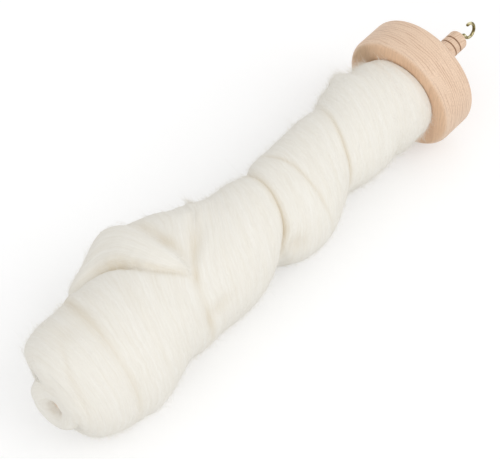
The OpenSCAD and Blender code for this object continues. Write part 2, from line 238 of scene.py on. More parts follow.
# how far the wool is drawn in along its upper left and its lower right outline
DRAWN_UPPER = by_place([(0, 1.0), (6, 1.4), (11, 2.6), (15.5, 2.9), (18.5, 0.0), (20.5, -0.4),
                        (22, 1.3), (30, 0.6), (38, 1.0), (42, 1.2), (50, 0.6), (58, 1.1), (66, 0.9),
                        (72, 1.2), (80, 0.7), (86, 1.1), (90, 2.5), (94, 2.6), (98, 2.0), (104, 0.9),
                        (112, 0.3), (117, -0.9), (121, -0.6), (124, 0.8), (128, 1.2), (134, 0.2),
                        (146, 0.2), (156, -0.7), (164, 0.3), (170, 1.0), (178, 0.4), (185, 0.2),
                        (188.5, -2.2), (193, -0.2), (210, 0), (217, -0.4), (223, 0)])
DRAWN_LOWER = by_place([(0, 1.2), (14, 1.9), (23, 1.9), (27, 0.4), (34, 0.2), (40, 1.2), (46, 2.1),
                        (51, 2.9), (54, 3.0), (57, 1.6), (62, 1.1), (66, 1.3), (72, 0.6), (80, 0.6),
                        (86, 1.0), (92, 0.2), (100, 0.6), (103.2, 3.2), (106, 1.6), (114, 1.2),
                        (126, 1.4), (138, 1.7), (146, 2.0), (151, 1.0), (156, -0.4), (161, -0.6),
                        (166, 0.3), (174, 1.2), (180, 1.8), (187, 1.3), (192, 0.3), (206, 0), (223, 0)])


def smooth(x):
    """Ease in and out from 0 to 1."""
    x = np.clip(x, 0, 1)
    return x * x * (3 - 2 * x)


def least(a, b, soft):
    """The smaller of two values, rounded where they cross."""
    h = np.clip(0.5 + 0.5 * (b - a) / soft, 0, 1)
    return b + (a - b) * h - soft * h * (1 - h)


def noise(x, y, seed):
    """Smooth value noise from -1 to 1 on a fixed random lattice."""
    grid = np.random.default_rng(seed).uniform(-1, 1, (LATTICE, LATTICE))
    x0, y0 = np.floor(x).astype(int), np.floor(y).astype(int)
    fx, fy = smooth(x - x0), smooth(y - y0)
    x1, y1 = (x0 + 1) % LATTICE, (y0 + 1) % LATTICE
    x0, y0 = x0 % LATTICE, y0 % LATTICE
    near = grid[x0, y0] * (1 - fx) + grid[x1, y0] * fx
    far = grid[x0, y1] * (1 - fx) + grid[x1, y1] * fx
    return near * (1 - fy) + far * fy


def groove(far, reach, sharp):
    """Fall of a groove at a distance from its line: pointed where sharp is 1, rounded where it is 0."""
    x = np.abs(far) / reach
    return sharp * np.exp(-1.6 * x) + (1 - sharp) * np.exp(-x * x)


def apart(angle, facing):
    """Degrees between two directions, from -180 to 180."""
    return (angle - facing + 180) % 360 - 180


def beside(angle, facing):
    """Share from 0 to 1 that falls off to either side of a direction."""
    return np.exp(-(apart(angle, facing) / BESIDE) ** 2)


def spot(s, angle, place, facing, reach, spread):
    """Share from 0 to 1 of a soft spot, with its reach along the shaft and its spread round it."""
    return np.exp(-((s - place) / reach) ** 2 - (apart(angle, facing) / spread) ** 2)


def lip_front(angle):
    """Share from 0 to 1 by which the lip passes smoothly into the winding's end on one side."""
    return smooth((np.cos(np.radians(angle - FRONT)) + 0.2) / 1.15)


def far_side(angle):
    """Share from 0 to 1 by which the winding's end stops short on the side away from the camera."""
    return smooth(0.45 - np.cos(np.radians(angle - FRONT)))


def end_limit(s, angle):
    """Radius of the winding's rounded end, which no wool stands out of."""
    lean = np.cos(np.radians(angle - CORNER))
    boxy = np.maximum(0, lean) ** 2
    power = 2.15 + 0.15 * lean + 1.5 * boxy
    drawn = LIP_DRAWN * lip_front(angle)
    short = BOXY_SHORT * boxy + FAR_SHORT * far_side(angle) * (0.62 + 0.38 * lean)
    along = np.clip((s - LOBE_FROM) / (LOBE_EDGE + drawn - short - LOBE_FROM), 0, 1)
    bulge = np.maximum(0, 1 - along ** power) ** (1 / power)
    lim = LIP_R - drawn + (LOBE_OUT + LOBE_LEAN * lean + drawn) * bulge
    return lim + 0.5 * np.maximum(0, LOBE_FROM + 6 - s)


def edge(t):
    """Place of the crease, kept within the wool's length."""
    return np.clip(at(CREASE, t), GAP, LOBE_EDGE)


def creased(s, r, t, lo, hi):
    """Radius and painted shade with the crease on either side of the roving."""
    below, above = at(BELOW, t - 1), at(ABOVE, t)
    sharp_lo, sharp_hi = at(SHARP, t - 1), at(SHARP, t)
    r = r - at(DEPTH, t - 1) * groove(s - lo, below, sharp_lo)
    r = r - at(DEPTH, t) * groove(hi - s, above, sharp_hi)
    # painted brown shade that deepens towards the crease, where light falls short
    tone = np.maximum(at(CREASE_SHADE, t - 1) * groove(s - lo, 0.7 + 0.5 * below, sharp_lo),
                      at(CREASE_SHADE, t) * groove(hi - s, 0.7 + 0.5 * above, sharp_hi))
    return r, tone


def folded(s, r, tone, t, lo, inner, clear):
    """Radius and painted shade with the fold, the way across it from 0 to 1 and the share by which it is
    there.
    """
    way = t * AROUND
    still = 0 * way
    ridge, high = at(FOLD_RIDGE, t), at(FOLD_HIGH, t)
    stray = 0.9 * noise(way / 6.5, still + 3.3, 41) + 0.35 * noise(way / 1.7, still + 8.1, 42)
    low = at(FOLD_LOW, t) + stray * smooth(ridge / 2)
    span = np.maximum(low - high, 0.5)
    p = np.clip((s - high) / span, 0, 1)
    near = np.clip((s - lo) / np.maximum(high - lo, 0.5), 0, 1)
    r = r + clear * at(FOLD_BAND, t) * np.where(s < high, near ** 0.8, 1 - p)
    crest = smooth(p / 0.34) * (1 - 0.5 * smooth((p - 0.34) / 0.6))
    r = r + clear * ridge * crest * smooth((low - s) / at(FOLD_DROP, t))

    # cut in under the lower edge and along the upper one
    under = np.where(s < low, groove(s - low, 3.2, 0.3), groove(s - low, 2.0, 0.5))
    cut = at(FOLD_CUT, t) * (0.85 + 0.4 * noise(way / 9, still + 5.7, 43))
    valley = groove(s - high, 5.5, 0.0) * (0.8 + 0.5 * noise(way / 8, s / 9, 44))
    r = r - cut * under * inner - at(VALLEY_CUT, t) * valley * inner

    # painted shade below the fold's lower edge, and in the valley along its upper edge
    shade = np.where(s < low, groove(s - low, 3.0, 0.3), groove(s - low, 1.0, 0.7))
    shade = shade * (0.8 + 0.45 * noise(way / 5, s / 2.5, 45))
    line = groove(s - low, 0.6, 0.6) * (0.75 + 0.6 * noise(way / 3, still + 2.2, 47))
    tone = np.maximum(tone, at(FOLD_SHADE, t) * np.maximum(shade, line))
    valley_shade = groove(s - high, 3.4, 0.0) * (0.7 + 0.8 * noise(way / 6, s / 5, 46))
    tone = np.maximum(tone, 0.2 * at(VALLEY_CUT, t) * valley_shade)
    on_fold = smooth(p * span / 1.2) * smooth((1 - p) * span / 1.2) * smooth(ridge / 1.2)
    return r, tone, p, on_fold


def dented(s, r, tone, t, angle, inner):
    """Radius and painted shade with the dip, the two shallow creases, and the soft hollows and swellings.
    """
    *where, deep = DIP
    r = r - deep * spot(s, angle, *where)
    split, last = at(SPLIT_CUT, t), at(LAST_CUT, t)
    to_split, to_last = s - at(SPLIT_AT, t), s - at(LAST_AT, t)
    r = r - split * groove(to_split, 1.9, 0.7) - last * groove(to_last, 2.0, 0.3)
    # painted shade in the two shallow creases and in the hollows
    tone = np.maximum(tone, 0.5 * split * groove(to_split, 1.3, 0.7))
    tone = np.maximum(tone, 0.22 * last * groove(to_last, 1.6, 0.3))
    for *where, height, dent_shade in DENTS:
        share = spot(s, angle, *where)
        r = r + height * share * inner
        tone = np.maximum(tone, dent_shade * share)
    return r, tone


def drawn_in(s, r, angle):
    """Radius with the wool drawn in along its two outlines and towards the disc."""
    r = r - np.interp(s, PLACES, DRAWN_UPPER) * beside(angle, UPPER)
    r = r - np.interp(s, PLACES, DRAWN_LOWER) * beside(angle, LOWER)
    foot = FOOT_R + FOOT_OVAL * np.cos(np.radians(2 * (angle - FOOT_WIDE)))
    pull = np.sqrt(np.maximum(0, 1 - np.clip(1 - (s - GAP) / FOOT_L, 0, 1) ** 2))
    return np.minimum(r, foot) + np.maximum(0, r - foot) * pull


def strands(along, across):
    """Height of the strands that the roving is combed into."""
    return (0.4 * noise(along / 26, across / 14, 1) + 0.12 * noise(along / 45, across / 4.5, 2)
            + 0.05 * noise(along / 32, across / 1.5, 3) + 0.025 * noise(along / 18, across / 0.7, 4))


def wool_surface(t, u):
    """Place, radius, direction, fibre coordinates, painted crease shade, fibre coordinate and share of the
    fold.
    """
    lo, hi = edge(t - 1), edge(t)
    wide = np.maximum(hi - lo, 0.01)
    s = lo + wide * u
    angle = VIEW + 360 * (t - 1)
    base = at(CREASE_R, t - 1) * (1 - u) + at(CREASE_R, t) * u
    top = at(CROWN, t - 0.5)
    r = base + (top - base) * np.maximum(0, np.sin(np.pi * u)) ** at(FULL, t - 0.5)
    from_edge = np.minimum(u, 1 - u) * wide
    inner, clear = smooth(from_edge / 4.0), smooth(from_edge / 5.0)
    r, tone = creased(s, r, t, lo, hi)
    r, tone, p, on_fold = folded(s, r, tone, t, lo, inner, clear)
    r, tone = dented(s, r, tone, t, angle, inner)
    r = drawn_in(s, r, angle)
    along, across = t * AROUND, u * ACROSS
    on_it = FOLD_FIBRES + p * FOLD_WIDTH
    r = r + inner * (strands(along, across) * (1 - on_fold) + strands(along, on_it) * on_fold)
    r = least(r, end_limit(s, angle) + 0.12 * noise(along / 30, across / 2.0, 5), 3.0)
    return s, r, angle, along, across, tone, on_it, on_fold


def wool_point(s, r, angle):
    """Points in metres, pressed flat where the wool lies on the floor."""
    a = np.radians(angle)
    z = r * np.sin(a)
    return np.stack([-WHORL_T - s, r * np.cos(a), np.maximum(z, FLOOR + OFF_FLOOR)], -1) * MM


# the hole for the shaft: places and radii
HOLE_S, HOLE_R = [0, 221, 230], [5.3, 3.3, 3.3]


def link(name, verts, faces, rounded=True):
    """A new object from points in metres and faces."""
    mesh = bpy.data.meshes.new(name)
    mesh.from_pydata(verts.tolist(), [], faces)
    mesh.polygons.foreach_set("use_smooth", np.full(len(mesh.polygons), rounded))
    obj = bpy.data.objects.new(name, mesh)
    bpy.context.scene.collection.objects.link(obj)
    return obj


def mark(mesh, name, values):
    """A value at each vertex, for the material."""
    mesh.attributes.new(name, "FLOAT", "POINT").data.foreach_set("value", values.astype(np.float32))


def corners(mesh):
    """The vertex at each corner of each face."""
    loops = np.zeros(len(mesh.loops), np.int64)
    mesh.loops.foreach_get("vertex_index", loops)
    return loops


def fibre_map(mesh, name, along, across):
    """Fibre coordinates at each corner of each face, as a UV map."""
    uv = mesh.uv_layers.new(name=name)
    uv.data.foreach_set("uv", np.stack([along, across], -1).astype(np.float32).ravel())


def sharpen(mesh, grid):
    """Sharp edges round the border of the skin's grid of vertices and on the core."""
    border = np.zeros(len(mesh.vertices), bool)
    border[grid[0]] = border[grid[-1]] = border[grid[:, 0]] = border[grid[:, -1]] = True
    border[grid.size:] = True
    pairs = np.zeros(len(mesh.edges) * 2, np.int64)
    mesh.edges.foreach_get("vertices", pairs)
    a, b = pairs.reshape(-1, 2).T
    mesh.attributes.new("sharp_edge", "BOOLEAN", "EDGE").data.foreach_set("value", border[a] & border[b])


# rows for a whole turn and columns across the roving; where the columns crowd together towards the lip,
# and over how far; the painted brown shade inside the winding
ROWS, COLS = 240, 140
CROWD_FROM, CROWD_OVER = LOBE_EDGE - 14, 24
CORE_SHADE = 0.6


def length_faces(n):
    """Faces of a length with n rows: its skin, the core and the two sides behind it, and its ends."""
    row = COLS + 1
    skin = (n + 1) * row
    p = (np.arange(n)[:, None] * row + np.arange(COLS)[None, :]).ravel()
    faces = np.stack([p, p + row, p + row + 1, p + 1], -1).tolist()
    for k in range(n):
        b, q = k * row, skin + 2 * k
        faces.append([q, q + 1, q + 3, q + 2])
        faces.append([b, q, q + 2, b + row])
        faces.append([b + COLS, b + row + COLS, q + 3, q + 1])
    faces.append([skin] + list(range(row)) + [skin + 1])
    faces.append([skin + 2 * n + 1] + [n * row + c for c in range(COLS, -1, -1)] + [skin + 2 * n])
    return faces


def wool_length(name, t0, t1):
    """One closed length of the roving between two numbers of turns, hollow round the shaft."""
    n = int(round((t1 - t0) * ROWS))
    t, w = np.meshgrid(np.linspace(t0, t1, n + 1), np.linspace(0, 1, COLS + 1), indexing="ij")
    crowd = smooth((at(CREASE, t) - CROWD_FROM) / CROWD_OVER)
    u = (1 - crowd) * w + crowd * np.sin(w * np.pi / 2)
    s, r, angle, along, across, shade, on_it, on_fold = wool_surface(t, u)
    skin = wool_point(s, r, angle).reshape(-1, 3)
    ends = [0, COLS]
    hole = np.interp(s[:, ends], HOLE_S, HOLE_R)
    core = wool_point(s[:, ends], hole, angle[:, ends]).reshape(-1, 3)
    obj = link(name, np.concatenate([skin, core]), length_faces(n))
    mesh = obj.data
    sharpen(mesh, np.arange(len(skin)).reshape(n + 1, COLS + 1))
    # painted crease shade for the material, and painted shade on the core inside the winding
    mark(mesh, "crease", np.concatenate([shade.ravel(), np.full(len(core), CORE_SHADE)]))
    mark(mesh, "fold", np.concatenate([on_fold.ravel(), np.zeros(len(core))]))
    along = np.concatenate([along.ravel(), np.repeat(along[:, 0], 2)])
    across = np.concatenate([across.ravel(), np.tile([0.0, ACROSS], n + 1)])
    on_it = np.concatenate([on_it.ravel(), np.repeat(on_it[:, 0], 2)])
    loops = corners(mesh)
    fibre_map(mesh, "fibre", along[loops], across[loops])
    fibre_map(mesh, "fold_fibre", along[loops], on_it[loops])
    return obj


# materials
class Nodes:
    """Short calls for building the node tree of a material or a world."""

    def __init__(self, owner, output):
        self.owner = owner
        owner.use_nodes = True
        self.tree = owner.node_tree
        self.tree.nodes.clear()
        self.out = self.tree.nodes.new(output)

    def add(self, kind, **settings):
        node = self.tree.nodes.new(kind)
        for key, value in settings.items():
            setattr(node, key, value)
        return node

    def join(self, a, b):
        self.tree.links.new(a, b)

    def show(self, shader):
        self.join(shader.outputs[0], self.out.inputs[0])
        return self.owner

    def math(self, op, a, b=None, clamp=False):
        node = self.add("ShaderNodeMath", operation=op, use_clamp=clamp)
        for k, x in enumerate((a, b)):
            if x is None:
                continue
            if isinstance(x, (int, float)):
                node.inputs[k].default_value = x
            else:
                self.join(x, node.inputs[k])
        return node.outputs[0]

    def ramp(self, value, stops):
        node = self.add("ShaderNodeValToRGB")
        el = node.color_ramp.elements
        while len(el) < len(stops):
            el.new(0.5)
        for e, (place, colour) in zip(el, stops):
            e.position = place
            e.color = (*colour, 1)
        self.join(value, node.inputs[0])
        return node.outputs[0]

    def mix(self, factor, a, b, blend="MIX"):
        node = self.add("ShaderNodeMix", data_type="RGBA", blend_type=blend)
        for socket, x in ((node.inputs[0], factor), (node.inputs[6], a), (node.inputs[7], b)):
            if isinstance(x, (int, float)):
                socket.default_value = x
            elif isinstance(x, tuple):
                socket.default_value = (*x, 1)
            else:
                self.join(x, socket)
        return node.outputs[2]

    def noise(self, vector, scale, detail=2.0, rough=0.5, distortion=0.0):
        node = self.add("ShaderNodeTexNoise")
        node.inputs["Scale"].default_value = scale
        node.inputs["Detail"].default_value = detail
        node.inputs["Roughness"].default_value = rough
        node.inputs["Distortion"].default_value = distortion
        self.join(vector, node.inputs["Vector"])
        return node.outputs[0]

    def stretch(self, vector, scale, turn=(0, 0, 0), move=(0, 0, 0)):
        node = self.add("ShaderNodeMapping")
        node.inputs["Scale"].default_value = scale
        node.inputs["Rotation"].default_value = turn
        node.inputs["Location"].default_value = move
        self.join(vector, node.inputs["Vector"])
        return node.outputs[0]

    def bump(self, height, strength, distance):
        node = self.add("ShaderNodeBump")
        node.inputs["Strength"].default_value = strength
        node.inputs["Distance"].default_value = distance
        self.join(height, node.inputs["Height"])
        return node.outputs[0]

    def object_place(self):
        return self.add("ShaderNodeTexCoord").outputs["Object"]

    def split(self, vector):
        node = self.add("ShaderNodeSeparateXYZ")
        self.join(vector, node.inputs[0])
        return node.outputs

    def seen(self):
        """1 for what the camera sees, also mirrored or through glass, and 0 for what only lights."""
        rays = self.add("ShaderNodeLightPath").outputs
        bent = self.math("MAXIMUM", rays["Is Glossy Ray"], rays["Is Transmission Ray"])
        return self.math("MAXIMUM", rays["Is Camera Ray"], bent)


def material(name):
    """The node tree of a new material."""
    return Nodes(bpy.data.materials.new(name), "ShaderNodeOutputMaterial")


def grey(v):
    return (v, v, v)


WHITE = grey(1.0)


def wool_material():
    """Cream wool with fine fibres along the roving, and painted brown shade in the creases."""
    m = material("wool_roving")
    fold = m.add("ShaderNodeAttribute", attribute_name="fold").outputs["Fac"]

    def crimped(name):
        """Fibre coordinates with the fibres' small waves."""
        flat = m.add("ShaderNodeUVMap", uv_map=name).outputs[0]
        wave = m.noise(m.stretch(flat, (0.24, 0.35, 1)), 1.0, 2.0, 0.6)
        shift = m.add("ShaderNodeCombineXYZ")
        m.join(m.math("MULTIPLY", m.math("SUBTRACT", wave, 0.5), 2.4), shift.inputs[1])
        moved = m.add("ShaderNodeVectorMath", operation="ADD")
        m.join(flat, moved.inputs[0])
        m.join(shift.outputs[0], moved.inputs[1])
        return moved.outputs[0]

    plain, laid = crimped("fibre"), crimped("fold_fibre")

    def fibres(scale, detail, rough):
        """Noise drawn out along the fibres, with their own direction on the fold."""
        a = m.noise(m.stretch(plain, scale), 1.0, detail, rough, 0.3)
        b = m.noise(m.stretch(laid, scale), 1.0, detail, rough, 0.3)
        off_fold = m.math("MULTIPLY", a, m.math("SUBTRACT", 1.0, fold))
        return m.math("ADD", off_fold, m.math("MULTIPLY", b, fold))

    fine = fibres((0.08, 1.1, 1), 4.0, 0.62)
    broad = fibres((0.02, 0.3, 1), 2.0, 0.5)
    hair = fibres((0.12, 5.5, 1), 2.0, 0.6)
    pale = m.ramp(fine, [(0.32, (0.815, 0.784, 0.713)), (0.68, (0.869, 0.849, 0.790))])
    warm = m.ramp(broad, [(0.32, (0.975, 0.965, 0.945)), (0.68, WHITE)])
    colour = m.mix(1.0, pale, warm, "MULTIPLY")
    # painted brown shade from the crease attribute, broken up by the fibres
    crease = m.add("ShaderNodeAttribute", attribute_name="crease").outputs["Fac"]
    deep = m.math("MULTIPLY", crease, m.math("ADD", 0.6, m.math("MULTIPLY", hair, 0.6)), clamp=True)
    colour = m.mix(deep, colour, (0.57, 0.45, 0.26))
    height = m.math("ADD", m.math("MULTIPLY", fine, 0.6), m.math("MULTIPLY", hair, 0.4))
    bsdf = m.add("ShaderNodeBsdfPrincipled")
    m.join(colour, bsdf.inputs["Base Color"])
    bsdf.inputs["Roughness"].default_value = 0.9
    bsdf.inputs["Specular IOR Level"].default_value = 0.1
    bsdf.inputs["Sheen Weight"].default_value = 0.16
    bsdf.inputs["Sheen Roughness"].default_value = 0.6
    m.join(m.bump(height, 0.12, 0.0003), bsdf.inputs["Normal"])
    return m.show(bsdf)


def hair_material():
    """Matt wool for the loose fibres."""
    m = material("wool_hairs")
    tone = m.noise(m.object_place(), 400.0, 2.0)
    colour = m.ramp(tone, [(0.3, (0.823, 0.795, 0.734)), (0.7, (0.855, 0.831, 0.777))])
    lit = m.add("ShaderNodeBsdfDiffuse")
    m.join(colour, lit.inputs["Color"])
    return m.show(lit)


# turned beech: colours between the year lines and in them, and of the small flecks
BEECH_PALE, BEECH_DEEP, BEECH_FLECK = (0.84, 0.632, 0.471), (0.54, 0.325, 0.205), (0.47, 0.28, 0.17)
# where the painted shadow of the loose wool fibres falls on the disc's face, and how far; the radius that
# the stub's turned grooves stay under, and the stretch of the stub that they are on
HAIR_SHADOW_AT, HAIR_SHADOW_REACH = (-19.0, 24.5, 11.8), 20.0
GROOVE_R, GROOVE_FROM, GROOVE_TO = 4.75, 4.0, 24.5


def face_tint(m, where, colour, face, painted_light):
    """The disc's faces: deeper in colour than the rim, partly painted shade, a painted highlight on the
    edge, painted fibre shadow.
    """
    # darker, more saturated faces: partly the wood's own colour, partly painted shade on faces turned from
    # the light
    colour = m.mix(face, colour, m.mix(1.0, colour, (0.95, 0.865, 0.775), "MULTIPLY"))
    # painted highlight along the rounded edge between face and rim
    colour = m.mix(m.math("MULTIPLY", painted_light, 0.2), colour, (0.93, 0.78, 0.64))
    # painted shadow of the loose wool fibres on the face, darkest next to the wool
    away = m.add("ShaderNodeVectorMath", operation="DISTANCE")
    m.join(where, away.inputs[0])
    away.inputs[1].default_value = Vector(HAIR_SHADOW_AT) * MM
    hair_shadow = m.ramp(m.math("MULTIPLY", away.outputs["Value"], 1 / (HAIR_SHADOW_REACH * MM)),
                    [(0.0, WHITE), (0.3, grey(0.78)), (0.6, grey(0.3)), (1.0, grey(0.0))])
    shadowed = m.mix(1.0, colour, (0.7, 0.7, 0.65), "MULTIPLY")
    return m.mix(m.math("MULTIPLY", hair_shadow, face), colour, shadowed)


def groove_tint(m, where, colour):
    """The burnt lines turned into the dowel's stub."""
    x, y, z = m.split(where)
    out = m.math("SQRT", m.math("ADD", m.math("MULTIPLY", y, y), m.math("MULTIPLY", z, z)))
    past_start = m.math("GREATER_THAN", x, GROOVE_FROM * MM)
    before_end = m.math("LESS_THAN", x, GROOVE_TO * MM)
    sunk = m.math("LESS_THAN", out, GROOVE_R * MM)
    burnt = m.math("MULTIPLY", sunk, m.math("MULTIPLY", past_start, before_end))
    return m.mix(m.math("MULTIPLY", burnt, 0.7), colour, (0.24, 0.12, 0.06))


def beech_grain(m, where, disc):
    """The year lines, the share by which they show, the streaks along the fibres and the small flecks."""
    # the year layers lie nearly flat in the disc, whose fibres run upright; those of the dowel run along it
    turned = m.stretch(where, (1000, 1000, 1000), (0, 0, np.radians(4 if disc else 12)))
    lay, side, fibre = (0, 1, 2) if disc else (1, 2, 0)

    def grain(a, b, c, move=(0, 0, 0)):
        """Coordinates scaled across the layers, along them and along the fibres."""
        out = [0, 0, 0]
        out[lay], out[side], out[fibre] = a, b, c
        return m.stretch(turned, tuple(out), (0, 0, 0), move)

    warp = m.noise(grain(0.1, 0.03, 0.012), 1.0, 2.0)
    sway = m.noise(grain(0.5, 0.1, 0.04), 1.0, 2.0)
    layer = m.math("ADD", m.math("MULTIPLY", m.split(turned)[lay], 0.78),
                   m.math("ADD", m.math("MULTIPLY", warp, 3.2), m.math("MULTIPLY", sway, 1.1)))
    ring = m.ramp(m.math("FRACT", layer), [(0.0, grey(0.06)), (0.55, grey(0.12)), (0.76, grey(0.7)),
                                           (0.86, WHITE), (1.0, grey(0.06))])
    patch = m.noise(grain(0.5, 0.07, 0.05, (7, 3, 5)), 1.0, 2.0)
    show = m.ramp(patch, [(0.36, grey(0.12)), (0.64, grey(0.85))])
    streak = m.noise(grain(1.9, 2.2, 0.1), 1.0, 3.0, 0.6)
    fleck = m.noise(grain(2.4, 3.2, 0.42), 1.0, 1.0, 0.5)
    return ring, show, streak, fleck


def beech_material(name, disc):
    """Turned beech for the disc or the dowel."""
    m = material(name)
    where = m.object_place()
    ring, show, streak, fleck = beech_grain(m, where, disc)
    amount = m.math("MULTIPLY", ring, show, clamp=True)
    if disc:
        facing = m.math("ABSOLUTE", m.split(m.add("ShaderNodeTexCoord").outputs["Normal"])[0])
        face = m.ramp(facing, [(0.55, grey(0.0)), (0.97, WHITE)])
        # painted highlight mask on the rounded edge between the rim and the faces
        painted_light = m.ramp(facing, [(0.4, grey(0.0)), (0.68, WHITE), (0.9, grey(0.0))])
        amount = m.math("MULTIPLY", amount, m.math("SUBTRACT", 1.0, m.math("MULTIPLY", face, 0.75)))
    colour = m.mix(amount, BEECH_PALE, BEECH_DEEP)
    tint = m.ramp(streak, [(0.32, (0.80, 0.765, 0.73)), (0.6, WHITE)])
    colour = m.mix(0.75, colour, tint, "MULTIPLY")
    spots = m.ramp(fleck, [(0.66, grey(0.0)), (0.74, WHITE)])
    colour = m.mix(m.math("MULTIPLY", spots, 0.35), colour, BEECH_FLECK)
    colour = face_tint(m, where, colour, face, painted_light) if disc else groove_tint(m, where, colour)
    rough = m.math("ADD", 0.42, m.math("MULTIPLY", streak, 0.2))
    height = m.math("ADD", m.math("MULTIPLY", streak, 0.6), m.math("MULTIPLY", ring, -0.4))
    bsdf = m.add("ShaderNodeBsdfPrincipled")
    m.join(colour, bsdf.inputs["Base Color"])
    m.join(rough, bsdf.inputs["Roughness"])
    bsdf.inputs["Specular IOR Level"].default_value = 0.45
    m.join(m.bump(height, 0.25, 0.0002), bsdf.inputs["Normal"])
    return m.show(bsdf)


def brass_material():
    """Drawn brass wire, with dark and gold patches painted in as reflections of its surroundings."""
    m = material("brass_wire")
    where = m.object_place()
    painted_light = m.noise(where, 520.0, 3.0)
    drawn = m.noise(where, 4200.0, 2.0)
    # painted reflections: near-black patches stand for dark surroundings mirrored in the metal
    colour = m.ramp(painted_light, [(0.38, (0.13, 0.10, 0.04)), (0.5, (0.30, 0.25, 0.11)),
                           (0.64, (0.74, 0.68, 0.44))])
    rough = m.math("ADD", 0.16, m.math("MULTIPLY", drawn, 0.18))
    bsdf = m.add("ShaderNodeBsdfPrincipled")
    bsdf.inputs["Metallic"].default_value = 1.0
    m.join(colour, bsdf.inputs["Base Color"])
    m.join(rough, bsdf.inputs["Roughness"])
    m.join(m.bump(drawn, 0.08, 0.0001), bsdf.inputs["Normal"])
    return m.show(bsdf)


# the floor's own grey, and the light it adds where it is seen
FLOOR_GREY, FLOOR_LIFT = 0.75, 0.3


def floor_material():
    """Pale floor that looks white and keeps the shadow."""
    m = material("floor_white")
    plain = m.add("ShaderNodeBsdfDiffuse")
    plain.inputs["Color"].default_value = (*grey(FLOOR_GREY), 1)
    lift = m.add("ShaderNodeEmission")
    m.join(m.math("MULTIPLY", m.seen(), FLOOR_LIFT), lift.inputs["Strength"])
    both = m.add("ShaderNodeAddShader")
    m.join(plain.outputs[0], both.inputs[0])
    m.join(lift.outputs[0], both.inputs[1])
    return m.show(both)


def dress(obj, look):
    """Give an object one material."""
    obj.data.materials.clear()
    obj.data.materials.append(look)


# the roving, in lengths between numbers of turns
WOOL = wool_material()
CUTS = [-0.1944, 0.7778, 1.75, 2.7222, 3.6944, 4.6667, 5.675]
NAMES = ["roving_start"] + ["roving_turn_%d" % k for k in range(1, 6)]
for name, t0, t1 in zip(NAMES, CUTS[:-1], CUTS[1:]):
    piece = wool_length(name + "_wool", t0, t1)
    dress(piece, WOOL)
    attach(piece, "wool")
    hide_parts(name)

# outline of the lip from its outside over the rim into the hollow: place, radius
LIP_OUTLINE = [(216.0, 13.6), (219.5, 14.0), (222.4, 14.3), (224.4, 14.7), (226.3, 13.5), (227.5, 11.3),
               (227.8, 8.8), (227.3, 6.2), (226.4, 4.5), (225.2, 3.8), (220.0, 3.5), (216.0, 3.5)]
# the part of it that slopes into the hollow, from the inside out
RIM_S, RIM_R = np.array(LIP_OUTLINE[9:5:-1]).T
LIP_ROWS, LIP_COLS = 80, 180
# the lip's fibre coordinates for each degree round it and each step of its outline
LIP_AROUND, LIP_ACROSS = 0.25, 1.6
# the hollow's painted brown shade, the radius at which it starts and the width over which it grows
HOLLOW_SHADE, HOLLOW_R, HOLLOW_FADE = 0.06, 5.2, 2.2


def rim_tilt(angle):
    """How far the lip's rim stands out: less towards the camera, so that the shaft's tip shows."""
    return 0.1 - 2.0 * lip_front(angle)


def lip_surface():
    """Place, radius, direction and step of the outline on the soft ring round the shaft's tip."""
    line = np.array(LIP_OUTLINE)
    points = np.arange(len(line))
    steps = np.linspace(0, len(line) - 1, LIP_ROWS)
    outline = [np.interp(steps, points, line[:, k]) for k in range(2)]
    for _ in range(3):
        for x in outline:
            x[1:-1] = (x[:-2] + 2 * x[1:-1] + x[2:]) / 4
    step, angle = np.meshgrid(steps, np.arange(LIP_COLS) * 360.0 / LIP_COLS, indexing="ij")
    s, r = [np.repeat(x[:, None], LIP_COLS, 1) for x in outline]
    s = s + rim_tilt(angle) * smooth((step - 3) / 2.5) * smooth((10.5 - step) / 2)
    # bent and uneven, the more the nearer to the tip, and drawn in along the two outlines
    loose = np.clip((s - 218) / 6, 0, 1)
    ring, side = np.cos(np.radians(angle)) * 3, np.sin(np.radians(angle)) * 3
    bend = 0.7 * noise(ring + 9, side + 9, 11)
    r = r - loose * smooth((6.5 - step) / 2) * (2.8 * beside(angle, LOWER) + 0.5 * beside(angle, UPPER))
    # joined to the winding's rounded end
    lobe = end_limit(s, angle) - 2.4 * smooth((LOBE_EDGE + 0.3 - s) / 4.5)
    lobe = lobe - 12 * smooth((s - LOBE_EDGE - LIP_DRAWN * lip_front(angle)) / 0.6)
    r = np.where(step < 5, -least(-r, -lobe, 3.0), r)
    r = r * (1 + 0.05 * bend * loose) + 0.15 * loose * noise(ring * 2 + 40, side * 2 + 3.3 * step, 12)
    return s + 0.5 * bend * loose, r, angle, step


def lip_piece():
    """The roving's last end, laid in round the shaft's tip as a closed ring."""
    s, r, angle, step = lip_surface()
    faces = []
    for x in range(LIP_ROWS):
        this, following = x * LIP_COLS, (x + 1) % LIP_ROWS * LIP_COLS
        for y in range(LIP_COLS):
            z = (y + 1) % LIP_COLS
            faces.append([this + y, following + y, following + z, this + z])
    obj = link("roving_end_wool", wool_point(s, r, angle).reshape(-1, 3), faces)
    mesh = obj.data
    # painted shade down in the hollow at the shaft's tip
    mark(mesh, "crease", (np.clip((HOLLOW_R - r) / HOLLOW_FADE, 0, 1) * HOLLOW_SHADE).ravel())
    loops = corners(mesh)
    turn = angle.ravel()[loops].reshape(-1, 4)
    turn = turn + 360 * (turn.max(1, keepdims=True) - turn > 180)
    fibre_map(mesh, "fibre", LIP_AROUND * turn.ravel(), (step * LIP_ACROSS).ravel()[loops])
    return obj


# thickness along a loose fibre
TAPER = np.array([0.5, 0.9, 1, 1, 0.8, 0.35])


def unit(v):
    """Vectors brought to a length of 1."""
    return v / np.maximum(np.linalg.norm(v, axis=2, keepdims=True), 1e-12)


